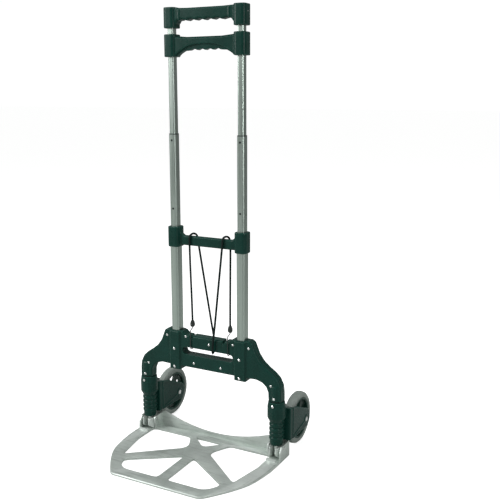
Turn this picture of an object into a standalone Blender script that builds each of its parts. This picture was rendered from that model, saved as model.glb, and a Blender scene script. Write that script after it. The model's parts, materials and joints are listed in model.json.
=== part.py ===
"""A folding hand truck: telescoping handle, moulded brackets, swing-in wheels and a fold-up toe plate.

Metres, +Z up, the toe plate to the front (-Y), the ground at Z = 0 and the posts' axes in the plane Y = 0.
Left is -X and right is +X, as seen from the front.
"""

import math

import bmesh
import bpy
from mathutils import Matrix, Vector

# ---- clearances and general values ----
FIT = 0.0003            # between pieces that touch or seat on each other
SLIDE_FIT = 0.0004      # each side, between telescoping tubes and in sleeves
THIN = 0.0002           # half of the gap between the two bracket shells
TRAVEL_SPARE = 0.0006   # beyond a travelling piece's stroke
CUT_OVER = 0.004        # how far a cutter runs past a wall
SIDES = (("left", -1), ("right", 1))

# ---- telescoping tubes ----
TUBE_SPACING = 0.1786
OUTER_TUBE = (0.0220, 0.0240)
OUTER_WALL = 0.0015
INNER_WALL = 0.0012
TUBE_CORNER = 0.0060
OUTER_BOTTOM = 0.1815
OUTER_TOP = 0.5150
MIDDLE_BOTTOM = 0.3930
MIDDLE_TOP = 0.7438
UPPER_BOTTOM = 0.5600
MIDDLE_TRAVEL = 0.2070
UPPER_TRAVEL = 0.1690
TUBE_X = TUBE_SPACING / 2
MIDDLE_TUBE = tuple(size - 2 * (OUTER_WALL + SLIDE_FIT) for size in OUTER_TUBE)
MIDDLE_BORE = tuple(size - 2 * INNER_WALL for size in MIDDLE_TUBE)
UPPER_TUBE = tuple(size - 2 * SLIDE_FIT for size in MIDDLE_BORE)
UPPER_BORE = tuple(size - 2 * INNER_WALL for size in UPPER_TUBE)

# ---- handles ----
HANDLE_TOP = 1.0240
HANDLE_HEIGHT = 0.0449
GRIP_HEIGHT = 0.0493
GRIP_DROP = 0.0131              # from the top handle down to the release grip
GRIP_TRAVEL = 0.0110
SLEEVE_WIDTH = 0.0300
SLEEVE_DEPTH = 0.0320
SLEEVE_CORNER = 0.0080
SLEEVE_CHAMFER = 0.0012
HANDLE_DEPTH = 0.0240
HANDLE_CHAMFER = 0.0035
WAVE_DEPTH = 0.0035
WAVE_COUNT = 4
CAP_THICKNESS = 0.0030
CROSS_PIN_RADIUS = 0.0013
GRIP_PIN_REACH = 0.0105
HANDLE_BOTTOM = HANDLE_TOP - HANDLE_HEIGHT
GRIP_TOP = HANDLE_BOTTOM - GRIP_DROP
GRIP_BOTTOM = GRIP_TOP - GRIP_HEIGHT
GRIP_PIN_Z = GRIP_BOTTOM + 0.0233
HANDLE_PIN_Z = HANDLE_TOP - 0.0160

# ---- upper tube locks and release rods ----
LOCK_Z = 0.5708
LOCK_RADIUS = 0.0022
LOCK_LENGTH = 0.0070
PLUG_HEIGHT = 0.0200
ROD_RADIUS = 0.0026
ROD_OFFSET = 0.0022
SPRING_RADIUS = 0.0020
SPRING_WIRE = 0.0006
SPRING_TURNS = 6
SPRING_LENGTH = 0.0300
SPRING_TOP = HANDLE_PIN_Z - CROSS_PIN_RADIUS - 2 * FIT
SPRING_BOTTOM = SPRING_TOP - SPRING_LENGTH

# ---- guide bushes at the top of the middle tubes ----
BUSH_RIM = 0.0020

# ---- crossbar on the outer tubes ----
CROSSBAR_BOTTOM = 0.4820
CROSSBAR_TOP = 0.5305
CROSSBAR_BAR = (0.4870, 0.5100)
CROSSBAR_BAR_DEPTH = 0.0130
DETENT_Z = 0.5225
DETENT_RADIUS = 0.0020
DETENT_TRAVEL = 0.0015
DETENT_SPRING_LENGTH = 0.0022
DETENT_COVER = 0.0012

# ---- base bracket ----
BRACKET_TOP = 0.2770
BRACKET_BOTTOM = 0.1790
BRACKET_PLATE_DEPTH = 0.0130
BRACKET_SLEEVE_DEPTH = 0.0175
BRACKET_CHAMFER = 0.0030
UPPER_BAR = (0.2385, 0.2690)
LOWER_BAR = (0.1880, 0.2200)
BAR_NOTCH_X = 0.0450
BAR_NOTCH_DEPTH = 0.0090
RIVET_RADIUS = 0.0020
SLEEVE_RIVETS = (("upper", 0.2314), ("lower", 0.1860))
RIVET_HEAD = (0.0033, 0.0013)

# ---- posts, feet and wheel forks ----
POST_SPACING = 0.3566
POST_RADIUS = 0.0070
POST_TOP = 0.2000
POST_BOTTOM = 0.0095
COLLAR_RADIUS = 0.0160
COLLAR_BOTTOM = 0.1445
WASHER_THICKNESS = 0.0012
KNUCKLE_BOTTOM = 0.0365
KNUCKLE_RADIUS = 0.0157
BARREL_RADIUS = 0.0215
BARREL_BOTTOM = 0.1000
RIB_COUNT = 4
RIB_NOTCH = 0.0012
GROOVE_Z = 0.1355
GROOVE_DEPTH = 0.0022
FORK_OFFSET = 0.0040
FORK_WIDTH = 0.0510
FORK_WALL = 0.0042
FORK_WEB_REAR = 0.0330
FORK_BOTTOM = 0.0440
WHEEL_RADIUS = 0.0635
AXLE_BACK = FORK_WEB_REAR + WHEEL_RADIUS + 0.0075
TYRE_WIDTH = 0.0230
TYRE_DEPTH = 0.0135
HUB_WIDTH = 0.0380
HUB_BOSS_RADIUS = 0.0130
HUB_RIM_WALL = 0.0045
SPOKE_COUNT = 6
AXLE_RADIUS = 0.0040
AXLE_HEAD = (0.0065, 0.0022)
WHEEL_BUSH_WALL = 0.0015
POST_X = POST_SPACING / 2

# ---- toe plate ----
PIVOT_Z = 0.0285
PIN_RADIUS = 0.0030
PLATE_THICKNESS = 0.0050
PLATE_FRONT = -0.2440
PLATE_REAR = 0.0285
FLANGE_THICKNESS = 0.0040
FLANGE_MIDDLE_TOP = 0.0125
FLANGE_PEAK_TOP = 0.0415
EAR_THICKNESS = 0.0040
EAR_GAP = 0.0006
PLATE_HALF_WIDTH = POST_X + KNUCKLE_RADIUS + EAR_GAP + EAR_THICKNESS
FLANGE_PEAK_X = 0.755 * PLATE_HALF_WIDTH
FLANGE_STEPS = 16
REAR_BAND = 0.0310
FRONT_BAND = 0.0310
SIDE_BAND = 0.0330
RIB_WIDTH = 0.0240
DIAGONAL_WIDTH = 0.0165
LIP_TOP = 0.0105
LIP_THICKNESS = 0.0040
FOOT_TOP = 0.0335
FOOT_FRONT = -0.0200
FOOT_REAR = 0.0110
FOOT_SLOT = 0.0125
FOOT_FACET = 0.0090             # from the post's axis to where the front facets start

# ---- elastic cord ----
CORD_RADIUS = 0.0025
FERRULE_RADIUS = 0.0057
FERRULE_LENGTH = 0.0150
HOOK_RADIUS = 0.0011
HOOK_SIDESTEP = 0.0060
HOOK_GAP = 0.0010

COLOURS = {
    "plastic": ((0.024, 0.075, 0.060), 0.45, 0.0),
    "aluminium": ((0.33, 0.38, 0.35), 0.35, 1.0),
    "plate": ((0.45, 0.51, 0.47), 0.4, 1.0),
    "steel": ((0.72, 0.74, 0.73), 0.25, 1.0),
    "tyre": ((0.19, 0.22, 0.20), 0.7, 0.0),
    "hub": ((0.008, 0.024, 0.018), 0.5, 0.0),
    "black": ((0.01, 0.013, 0.012), 0.6, 0.0),
    "cord": ((0.008, 0.016, 0.014), 0.8, 0.0),
}


# ---- general modelling helpers ----

def clear_scene():
    for item in list(bpy.data.objects):
        bpy.data.objects.remove(item, do_unlink=True)


def material_for(node, kind):
    colour, roughness, metallic = COLOURS[kind]
    material = bpy.data.materials.new(node)
    material.use_nodes = True
    shader = material.node_tree.nodes["Principled BSDF"]
    shader.inputs["Base Color"].default_value = (*colour, 1.0)
    shader.inputs["Roughness"].default_value = roughness
    shader.inputs["Metallic"].default_value = metallic
    return material


def finish_mesh(name, shape, kind=None, origin=(0, 0, 0), smooth=False):
    """Turns a bmesh in world coordinates into an object whose origin is at the given point."""
    bmesh.ops.remove_doubles(shape, verts=shape.verts, dist=1e-6)
    bmesh.ops.recalc_face_normals(shape, faces=shape.faces)
    bmesh.ops.translate(shape, verts=shape.verts, vec=-Vector(origin))
    mesh = bpy.data.meshes.new(name)
    shape.to_mesh(mesh)
    shape.free()
    item = bpy.data.objects.new(name, mesh)
    item.location = origin
    bpy.context.collection.objects.link(item)
    if smooth:
        mesh.shade_smooth()
        mesh.set_sharp_from_angle(angle=math.radians(40))
    if kind:
        mesh.materials.append(material_for(name, kind))
    return item


def hide_helper(item):
    item.hide_render = True
    item.display_type = "WIRE"
    return item


def joined(*shapes):
    """One bmesh that holds all the given ones as separate bodies."""
    whole = bmesh.new()
    for shape in shapes:
        mesh = bpy.data.meshes.new("piece")
        shape.to_mesh(mesh)
        shape.free()
        whole.from_mesh(mesh)
        bpy.data.meshes.remove(mesh)
    return whole


def add_boolean(item, shape, operation):
    bmesh.ops.recalc_face_normals(shape, faces=shape.faces)
    helper = hide_helper(finish_mesh(f"{item.name}_{operation.lower()}", shape))
    modifier = item.modifiers.new(operation.title(), "BOOLEAN")
    modifier.operation = operation
    modifier.solver = "EXACT"
    modifier.object = helper
    return item


def cut(item, *shapes):
    for shape in shapes:
        add_boolean(item, shape, "DIFFERENCE")
    return item


def unite(item, *shapes):
    for shape in shapes:
        add_boolean(item, shape, "UNION")
    return item


AXIS_TURN = {
    "Z": Matrix.Identity(4),
    "Y": Matrix(((1, 0, 0, 0), (0, 0, 1, 0), (0, 1, 0, 0), (0, 0, 0, 1))),
    "X": Matrix(((0, 0, 1, 0), (1, 0, 0, 0), (0, 1, 0, 0), (0, 0, 0, 1))),
}


def prism(outline, axis, low, high, chamfer=0.0, chamfer_ends=("low", "high")):
    """An outline extruded along an axis.

    Along Z the outline is (x, y), along Y it is (x, z) and along X it is (y, z).
    """
    shape = bmesh.new()
    ring = [shape.verts.new((a, b, low)) for a, b in outline]
    face = shape.faces.new(ring)
    made = bmesh.ops.extrude_face_region(shape, geom=[face])
    top = [part for part in made["geom"] if isinstance(part, bmesh.types.BMVert)]
    bmesh.ops.translate(shape, verts=top, vec=(0, 0, high - low))
    bmesh.ops.recalc_face_normals(shape, faces=shape.faces)
    if chamfer:
        levels = [level for name, level in (("low", low), ("high", high)) if name in chamfer_ends]
        rims = [edge for edge in shape.edges
                if any(all(abs(vert.co.z - level) < 1e-7 for vert in edge.verts) for level in levels)]
        bmesh.ops.bevel(shape, geom=rims, offset=chamfer, segments=1, affect="EDGES",
                        clamp_overlap=True)
    bmesh.ops.transform(shape, matrix=AXIS_TURN[axis], verts=shape.verts)
    return shape


def block(low, high):
    return prism([(low[0], low[1]), (high[0], low[1]), (high[0], high[1]), (low[0], high[1])],
                 "Z", low[2], high[2])


def rod(axis, centre, radius, low, high, sides=12, chamfer=0.0):
    """A round bar along an axis; centre is its place in the other two."""
    outline = arc(centre, radius, 0, 360, sides)[:-1]
    return prism(outline, axis, low, high, chamfer)


def arc(centre, radius, start, end, steps):
    """Points of an arc in degrees, both ends included."""
    turn = [math.radians(start + (end - start) * step / steps) for step in range(steps + 1)]
    return [(centre[0] + radius * math.cos(t), centre[1] + radius * math.sin(t)) for t in turn]


def rounded_box(centre, size, radius, steps=3):
    """The outline of a rectangle with round corners."""
    half = (size[0] / 2 - radius, size[1] / 2 - radius)
    corners = ((1, 1, 0), (-1, 1, 90), (-1, -1, 180), (1, -1, 270))
    outline = []
    for along_x, along_y, start in corners:
        middle = (centre[0] + along_x * half[0], centre[1] + along_y * half[1])
        outline += arc(middle, radius, start, start + 90, steps)
    return outline


def rounded(points, radius, steps=3):
    """An outline with each corner rounded by an arc-like curve; radius may be one value or one per point."""
    count = len(points)
    radii = [radius] * count if isinstance(radius, (int, float)) else radius
    outline = []
    for index, point in enumerate(points):
        here = Vector(point)
        before = Vector(points[index - 1]) - here
        after = Vector(points[(index + 1) % count]) - here
        if radii[index] <= 0:
            outline.append(tuple(here))
            continue
        reach = min(radii[index], 0.45 * before.length, 0.45 * after.length)
        start = here + before.normalized() * reach
        end = here + after.normalized() * reach
        for step in range(steps + 1):
            t = step / steps
            spot = start * (1 - t) ** 2 + here * 2 * t * (1 - t) + end * t ** 2
            outline.append(tuple(spot))
    return outline


def turned(profile, axis, centre, sides):
    """A closed profile of (radius, along) points turned about an axis."""
    shape = bmesh.new()
    rings = []
    for radius, along in profile:
        if radius < 1e-9:
            rings.append([shape.verts.new((0, 0, along))])
            continue
        rings.append([shape.verts.new((radius * math.cos(2 * math.pi * n / sides),
                                       radius * math.sin(2 * math.pi * n / sides), along))
                      for n in range(sides)])
    for index in range(len(rings)):
        first, second = rings[index - 1], rings[index]
        if len(first) == 1 and len(second) == 1:
            continue
        for n in range(sides):
            corners = [first[n % len(first)], first[(n + 1) % len(first)],
                       second[(n + 1) % len(second)], second[n % len(second)]]
            unique = list(dict.fromkeys(corners))
            shape.faces.new(unique)
    bmesh.ops.recalc_face_normals(shape, faces=shape.faces)
    bmesh.ops.transform(shape, matrix=AXIS_TURN[axis], verts=shape.verts)
    bmesh.ops.translate(shape, verts=shape.verts, vec=centre)
    return shape


def mirrored(points):
    return [(-x, y) for x, y in reversed(points)]


def tube_shape(x, size, wall, corner, bottom, top):
    """A rounded rectangular tube about a vertical axis."""
    outer = rounded_box((x, 0), size, corner)
    bore = (size[0] - 2 * wall, size[1] - 2 * wall)
    inner = rounded_box((x, 0), bore, corner - wall)
    shape = bmesh.new()
    loops = [[shape.verts.new((px, py, z)) for px, py in outline]
             for outline, z in ((outer, bottom), (outer, top), (inner, top), (inner, bottom))]
    count = len(outer)
    for first, second in zip(loops, loops[1:] + loops[:1]):
        for n in range(count):
            shape.faces.new((first[n], first[(n + 1) % count], second[(n + 1) % count], second[n]))
    return shape


def sleeve_hole(x, size, corner, bottom, top):
    return prism(rounded_box((x, 0), size, corner), "Z", bottom, top)


def grown(size, gap):
    return tuple(value + 2 * gap for value in size)


def coil(axis_point, radius, wire, bottom, top, turns, sides=8, wire_sides=3):
    """A helical spring about a vertical axis, as one closed tube."""
    shape = bmesh.new()
    steps = turns * sides
    rings = []
    for step in range(steps + 1):
        angle = 2 * math.pi * step / sides
        height = bottom + wire + (top - bottom - 2 * wire) * step / steps
        outward = Vector((math.cos(angle), math.sin(angle), 0))
        middle = Vector((*axis_point, height)) + outward * radius
        ring = []
        for n in range(wire_sides):
            around = 2 * math.pi * (n + 0.5) / wire_sides
            offset = outward * math.cos(around) + Vector((0, 0, 1)) * math.sin(around)
            ring.append(shape.verts.new(middle + offset * wire))
        rings.append(ring)
    for first, second in zip(rings, rings[1:]):
        for n in range(wire_sides):
            shape.faces.new((first[n], first[(n + 1) % wire_sides],
                             second[(n + 1) % wire_sides], second[n]))
    shape.faces.new(rings[0])
    shape.faces.new(rings[-1])
    return shape


# ---- telescoping tubes and what is in them ----

def outer_tube(side, sign):
    x = sign * TUBE_X
    item = finish_mesh(f"outer_tube_{side}",
                       tube_shape(x, OUTER_TUBE, OUTER_WALL, TUBE_CORNER, OUTER_BOTTOM, OUTER_TOP),
                       "aluminium", origin=(x, 0, OUTER_BOTTOM), smooth=True)
    cut(item, joined(*[rod("Y", (x, z), RIVET_RADIUS + FIT, -OUTER_TUBE[1], -OUTER_TUBE[1] / 4, 8)
                       for _, z in SLEEVE_RIVETS]))


def middle_tube(side, sign):
    x = sign * TUBE_X
    corner = TUBE_CORNER - OUTER_WALL
    item = finish_mesh(f"middle_tube_{side}",
                       tube_shape(x, MIDDLE_TUBE, INNER_WALL, corner, MIDDLE_BOTTOM, MIDDLE_TOP),
                       "aluminium", origin=(x, 0, MIDDLE_BOTTOM), smooth=True)
    wall_x = x + MIDDLE_TUBE[0] / 2
    wall_y = MIDDLE_TUBE[1] / 2
    lock_hole = rod("X", (0, LOCK_Z), LOCK_RADIUS + FIT, wall_x - CUT_OVER, wall_x + CUT_OVER)
    detent_hole = rod("Y", (x, DETENT_Z), DETENT_RADIUS + FIT, wall_y - CUT_OVER, wall_y + CUT_OVER)
    cut(item, joined(lock_hole, detent_hole))


def guide_bush(side, sign):
    """The plastic rim that guides the upper tube at the mouth of the middle tube."""
    x = sign * TUBE_X
    corner = TUBE_CORNER - OUTER_WALL - INNER_WALL
    bore = grown(UPPER_TUBE, FIT / 2)
    rim_bottom = MIDDLE_TOP + FIT
    rim = prism(rounded_box((x, 0), MIDDLE_TUBE, corner + INNER_WALL), "Z",
                rim_bottom, rim_bottom + BUSH_RIM)
    item = finish_mesh(f"guide_bush_{side}", rim, "black", origin=(x, 0, rim_bottom))
    cut(item, sleeve_hole(x, bore, corner, rim_bottom - CUT_OVER, rim_bottom + BUSH_RIM + CUT_OVER))


def upper_tube(side, sign):
    x = sign * TUBE_X
    corner = TUBE_CORNER - OUTER_WALL - INNER_WALL
    top = HANDLE_TOP - CAP_THICKNESS - FIT
    item = finish_mesh(f"upper_tube_{side}",
                       tube_shape(x, UPPER_TUBE, INNER_WALL, corner, UPPER_BOTTOM, top),
                       "aluminium", origin=(x, 0, UPPER_BOTTOM), smooth=True)
    wall_x = x + UPPER_TUBE[0] / 2
    reach = UPPER_TUBE[0] / 2 + CUT_OVER
    lock_hole = rod("X", (0, LOCK_Z), LOCK_RADIUS + FIT, wall_x - CUT_OVER, wall_x + CUT_OVER)
    slot_radius = CROSS_PIN_RADIUS + FIT
    slot_top = GRIP_PIN_Z + GRIP_TRAVEL + TRAVEL_SPARE
    slot_outline = (arc((0, slot_top), slot_radius, 0, 180, 4)
                    + arc((0, GRIP_PIN_Z - TRAVEL_SPARE), slot_radius, 180, 360, 4))
    slot = prism(slot_outline, "X", x - reach, x + reach)
    pin_hole = rod("X", (0, HANDLE_PIN_Z), CROSS_PIN_RADIUS + FIT, x - reach, x + reach, 8)
    cut(item, joined(lock_hole, slot, pin_hole))


def lock_plug(side, sign):
    """The plug in the foot of the upper tube that guides the lock pin and the tip of the rod."""
    x = sign * TUBE_X
    size = grown(UPPER_BORE, -FIT)
    item = finish_mesh(f"lock_plug_{side}",
                       prism(rounded_box((x, 0), size, 0.0015, 2), "Z",
                             UPPER_BOTTOM + FIT, UPPER_BOTTOM + PLUG_HEIGHT), "black",
                       origin=(x, 0, UPPER_BOTTOM))
    guide = rod("X", (0, LOCK_Z), LOCK_RADIUS + FIT, x - ROD_OFFSET, x + CUT_OVER * 3, 10)
    half = ROD_RADIUS + FIT
    well = block((x - ROD_OFFSET - half, -half, LOCK_Z), (x - ROD_OFFSET + half, half,
                                                          UPPER_BOTTOM + PLUG_HEIGHT + CUT_OVER))
    cut(item, well, guide)


def lock_pin(side, sign):
    x = sign * TUBE_X
    tip = x + UPPER_TUBE[0] / 2 + SLIDE_FIT / 2
    finish_mesh(f"lock_pin_{side}",
                rod("X", (0, LOCK_Z), LOCK_RADIUS, tip - LOCK_LENGTH, tip, 10, 0.0004),
                "steel", origin=(tip, 0, LOCK_Z), smooth=True)


def release_rod(side, sign):
    x = sign * TUBE_X - ROD_OFFSET
    bottom = LOCK_Z + LOCK_RADIUS + 3 * FIT
    item = finish_mesh(f"release_rod_{side}",
                       rod("Z", (x, 0), ROD_RADIUS, bottom, SPRING_BOTTOM - FIT, 8),
                       "steel", origin=(x, 0, GRIP_PIN_Z), smooth=True)
    cut(item, rod("X", (0, GRIP_PIN_Z), CROSS_PIN_RADIUS + FIT, x - CUT_OVER, x + CUT_OVER, 8))


def release_spring(side, sign):
    """The spring between the rod's upper end and the handle's cross pin."""
    x = sign * TUBE_X - ROD_OFFSET
    spring = coil((x, 0), SPRING_RADIUS, SPRING_WIRE, SPRING_BOTTOM, SPRING_TOP, SPRING_TURNS, 6)
    finish_mesh(f"release_spring_{side}", spring, "steel", origin=(x, 0, SPRING_TOP), smooth=True)


# ---- handles ----

def finger_wave(half, level, depth, count, steps=3):
    """The underside of a grip between two ends: scallops that bulge down between the fingers."""
    points = []
    width = 2 * half / count
    for index in range(count):
        for step in range(steps):
            t = step / steps
            x = half - (index + t) * width
            points.append((x, level + depth * math.sin(math.pi * t)))
    points.append((-half, level))
    return points


def sleeve_outline(x):
    return rounded_box((x, 0), (SLEEVE_WIDTH, SLEEVE_DEPTH), SLEEVE_CORNER, 3)


def handle_body(name, bar_outline, bottom, top, origin):
    bar = prism(bar_outline, "Y", -HANDLE_DEPTH / 2, HANDLE_DEPTH / 2, HANDLE_CHAMFER)
    item = finish_mesh(name, bar, "plastic", origin, smooth=True)
    for _, sign in SIDES:
        sleeve = prism(sleeve_outline(sign * TUBE_X), "Z", bottom, top, SLEEVE_CHAMFER)
        unite(item, sleeve)
    return item


def top_handle():
    inner = TUBE_X - SLEEVE_WIDTH / 2
    under = HANDLE_BOTTOM + 0.0089
    crown = HANDLE_TOP - 0.0015
    waves = finger_wave(inner - 0.0303, under + 0.0055, WAVE_DEPTH, WAVE_COUNT)
    lower = [(TUBE_X, under), (inner - 0.0020, under), (inner - 0.0060, under + 0.0060),
             (inner - 0.0163, under + 0.0085)]
    upper = [(-TUBE_X, crown), (-TUBE_X / 2, crown - 0.0017), (TUBE_X / 2, crown - 0.0017), (TUBE_X, crown)]
    outline = lower + waves + mirrored(lower) + upper
    item = handle_body("top_handle", outline, HANDLE_BOTTOM, HANDLE_TOP, (0, 0, HANDLE_BOTTOM))
    holes = []
    pins = []
    corner = TUBE_CORNER - OUTER_WALL - INNER_WALL
    for _, sign in SIDES:
        x = sign * TUBE_X
        holes.append(sleeve_hole(x, grown(UPPER_TUBE, FIT), corner + FIT, HANDLE_BOTTOM - CUT_OVER,
                                 HANDLE_TOP - CAP_THICKNESS))
        pins.append(rod("X", (0, HANDLE_PIN_Z), CROSS_PIN_RADIUS + FIT, x - GRIP_PIN_REACH - FIT,
                        x + SLEEVE_WIDTH / 2 + CUT_OVER, 8))
    cut(item, joined(*holes), joined(*pins))


def release_grip():
    inner = TUBE_X - SLEEVE_WIDTH / 2
    under = GRIP_BOTTOM + 0.0008
    crown = GRIP_TOP - 0.0030
    waves = finger_wave(inner - 0.0343, under + 0.0125, WAVE_DEPTH, WAVE_COUNT)
    lower = [(TUBE_X, under), (inner - 0.0010, under), (inner - 0.0080, under + 0.0060),
             (inner - 0.0193, under + 0.0120)]
    upper = [(-TUBE_X, crown), (-TUBE_X / 2, crown - 0.0040), (TUBE_X / 2, crown - 0.0040), (TUBE_X, crown)]
    outline = lower + waves + mirrored(lower) + upper
    item = handle_body("release_grip", outline, GRIP_BOTTOM, GRIP_TOP, (0, 0, GRIP_BOTTOM))
    holes = []
    pins = []
    corner = TUBE_CORNER - OUTER_WALL - INNER_WALL
    for _, sign in SIDES:
        x = sign * TUBE_X
        holes.append(sleeve_hole(x, grown(UPPER_TUBE, SLIDE_FIT), corner + SLIDE_FIT,
                                 GRIP_BOTTOM - CUT_OVER, GRIP_TOP + CUT_OVER))
        pins.append(rod("X", (0, GRIP_PIN_Z), CROSS_PIN_RADIUS + FIT, x - GRIP_PIN_REACH - FIT,
                        x + GRIP_PIN_REACH + FIT, 8))
    cut(item, joined(*holes), joined(*pins))


def cross_pin(name, sign, z, reach_in, reach_out):
    x = sign * TUBE_X
    finish_mesh(name, rod("X", (0, z), CROSS_PIN_RADIUS, x - reach_in, x + reach_out, 8),
                "steel", origin=(x, 0, z), smooth=True)


# ---- crossbar ----

def crossbar():
    bar_bottom, bar_top = CROSSBAR_BAR
    inner = TUBE_X - SLEEVE_WIDTH / 2
    lower = [(TUBE_X, bar_bottom - 0.0010), (inner - 0.0040, bar_bottom)]
    upper = [(inner - 0.0100, bar_top), (inner - 0.0020, bar_top + 0.0060),
             (inner, bar_top + 0.0140), (TUBE_X, bar_top + 0.0140)]
    outline = lower + mirrored(lower) + mirrored(upper) + upper
    item = finish_mesh("crossbar",
                       prism(outline, "Y", -CROSSBAR_BAR_DEPTH / 2, CROSSBAR_BAR_DEPTH / 2, 0.0025),
                       "plastic", smooth=True)
    outer_holes = []
    inner_holes = []
    pockets = []
    for _, sign in SIDES:
        x = sign * TUBE_X
        unite(item, prism(sleeve_outline(x), "Z", CROSSBAR_BOTTOM, CROSSBAR_TOP, SLEEVE_CHAMFER))
        outer_holes.append(sleeve_hole(x, grown(OUTER_TUBE, FIT), TUBE_CORNER, CROSSBAR_BOTTOM - CUT_OVER,
                                       OUTER_TOP + FIT))
        inner_holes.append(sleeve_hole(x, grown(MIDDLE_TUBE, SLIDE_FIT), TUBE_CORNER - OUTER_WALL,
                                       OUTER_TOP - CUT_OVER, CROSSBAR_TOP + CUT_OVER))
        pockets.append(rod("Y", (x, DETENT_Z), DETENT_RADIUS + FIT, MIDDLE_TUBE[1] / 2 - CUT_OVER,
                           SLEEVE_DEPTH / 2 - DETENT_COVER, 10))
    cut(item, joined(*outer_holes), joined(*inner_holes), joined(*pockets))


def detent(side, sign):
    """A sprung round-nosed pin in the rear of the crossbar sleeve, and the spring behind it."""
    x = sign * TUBE_X
    nose = MIDDLE_TUBE[1] / 2 + SLIDE_FIT / 2
    length = SLEEVE_DEPTH / 2 - DETENT_COVER - nose - DETENT_SPRING_LENGTH - 3 * FIT
    finish_mesh(f"detent_pin_{side}", rod("Y", (x, DETENT_Z), DETENT_RADIUS, nose, nose + length, 10, 0.0005),
                "steel", origin=(x, nose, DETENT_Z), smooth=True)
    spring_front = nose + length + FIT
    spring = coil((0, 0), DETENT_RADIUS * 0.65, 0.0002, 0, DETENT_SPRING_LENGTH, 3, 6)
    turn = Matrix.Translation((x, spring_front, DETENT_Z)) @ AXIS_TURN["Y"]
    bmesh.ops.transform(spring, matrix=turn, verts=spring.verts)
    finish_mesh(f"detent_spring_{side}", spring, "steel", smooth=True)


# ---- base bracket ----

def between(start, end, points):
    """Points whose first value is a share of the way from start to end."""
    return [(start + (end - start) * share, level) for share, level in points]


def bracket_half_outline():
    """The right half of the bracket, clockwise from the middle of its upper bar."""
    notch = [(BAR_NOTCH_X - 0.004, UPPER_BAR[1]), (BAR_NOTCH_X - 0.003, UPPER_BAR[1] - BAR_NOTCH_DEPTH),
             (BAR_NOTCH_X + 0.004, UPPER_BAR[1])]
    shoulder = [(TUBE_X - 0.0293, UPPER_BAR[1]), (TUBE_X - 0.0213, BRACKET_TOP),
                (TUBE_X + 0.0227, BRACKET_TOP + 0.0015), (TUBE_X + 0.0307, BRACKET_TOP - 0.0040)]
    arm_outside = between(TUBE_X + 0.0307, POST_X + COLLAR_RADIUS,
                          [(0.148, 0.2470), (0.310, 0.2310), (0.511, 0.2190), (0.713, 0.2090),
                           (0.875, 0.1980), (0.976, 0.1820), (0.996, 0.1660), (1.000, COLLAR_BOTTOM)])
    arm_inside = between(TUBE_X + 0.0167, POST_X - COLLAR_RADIUS,
                         [(1.000, COLLAR_BOTTOM), (0.980, 0.1640), (0.888, 0.1755), (0.693, 0.1840),
                          (0.409, 0.1885), (0.000, 0.1880)])
    return notch + shoulder + arm_outside + arm_inside


def bracket_slot():
    half_length = TUBE_X - SLEEVE_WIDTH / 2 - 0.004
    low, high = LOWER_BAR[1], UPPER_BAR[0]
    radius = (high - low) / 2
    middle = (low + high) / 2
    return (arc((half_length - radius, middle), radius, -90, 90, 4)
            + arc((-half_length + radius, middle), radius, 90, 270, 4))


def bracket_shell(name, facing):
    """One of the two riveted halves; facing is -1 for the front and 1 for the rear."""
    right = bracket_half_outline()
    bar_end = (TUBE_X - 0.0293, LOWER_BAR[0])
    outline = right + [bar_end, (-bar_end[0], bar_end[1])] + mirrored(right)
    near, far = sorted((facing * THIN, facing * BRACKET_PLATE_DEPTH))
    outer_end = ("low",) if facing < 0 else ("high",)
    item = finish_mesh(name, prism(outline, "Y", near, far, BRACKET_CHAMFER, outer_end), "plastic",
                       smooth=True)
    near, far = sorted((facing * THIN, facing * BRACKET_SLEEVE_DEPTH))
    for _, sign in SIDES:
        x = sign * TUBE_X
        half = SLEEVE_WIDTH / 2
        sleeve = prism([(x - half, BRACKET_BOTTOM), (x + half, BRACKET_BOTTOM), (x + half, BRACKET_TOP),
                        (x - half, BRACKET_TOP)], "Y", near, far, BRACKET_CHAMFER, outer_end)
        unite(item, sleeve)
        near_collar, far_collar = sorted((facing * THIN, facing * COLLAR_RADIUS * 1.2))
        collar = rod("Z", (sign * POST_X, 0), COLLAR_RADIUS, COLLAR_BOTTOM, 0.1800, 20)
        keep = block((sign * POST_X - 0.03, near_collar, 0.1), (sign * POST_X + 0.03, far_collar, 0.2))
        collar_item = finish_mesh(f"{name}_collar_{sign}", collar)
        add_boolean(collar_item, keep, "INTERSECT")
        hide_helper(collar_item)
        modifier = item.modifiers.new("Collar", "BOOLEAN")
        modifier.operation = "UNION"
        modifier.solver = "EXACT"
        modifier.object = collar_item
    holes = [prism(bracket_slot(), "Y", -0.03, 0.03)]
    for _, sign in SIDES:
        holes.append(sleeve_hole(sign * TUBE_X, grown(OUTER_TUBE, FIT), TUBE_CORNER + FIT,
                                 OUTER_BOTTOM - FIT, BRACKET_TOP + 0.02))
        holes.append(rod("Z", (sign * POST_X, 0), POST_RADIUS + FIT, COLLAR_BOTTOM - CUT_OVER,
                         POST_TOP + FIT, 16))
    cut(item, joined(*holes))
    if facing < 0:
        cut(item, joined(*[rod("Y", (sign * TUBE_X, z), RIVET_RADIUS + FIT, -0.03, 0, 8)
                           for _, sign in SIDES for _, z in SLEEVE_RIVETS]))


def blind_rivet(name, place, front, tip):
    """A rivet along Y with a domed head in front of the face it holds."""
    radius, height = RIVET_HEAD
    seat = front - FIT
    profile = [(0, seat - height), (radius * 0.6, seat - height * 0.85), (radius, seat - height * 0.3),
               (radius, seat), (RIVET_RADIUS, seat), (RIVET_RADIUS, tip), (0, tip)]
    shape = turned(profile, "Y", (place[0], 0, place[1]), 8)
    finish_mesh(name, shape, "steel", origin=(place[0], front, place[1]), smooth=True)


def tube_rivets(side, sign):
    for level, z in SLEEVE_RIVETS:
        tip = -OUTER_TUBE[1] / 2 + OUTER_WALL / 2
        blind_rivet(f"tube_rivet_{level}_{side}", (sign * TUBE_X, z), -BRACKET_SLEEVE_DEPTH, tip)


# ---- posts and feet ----

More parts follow.
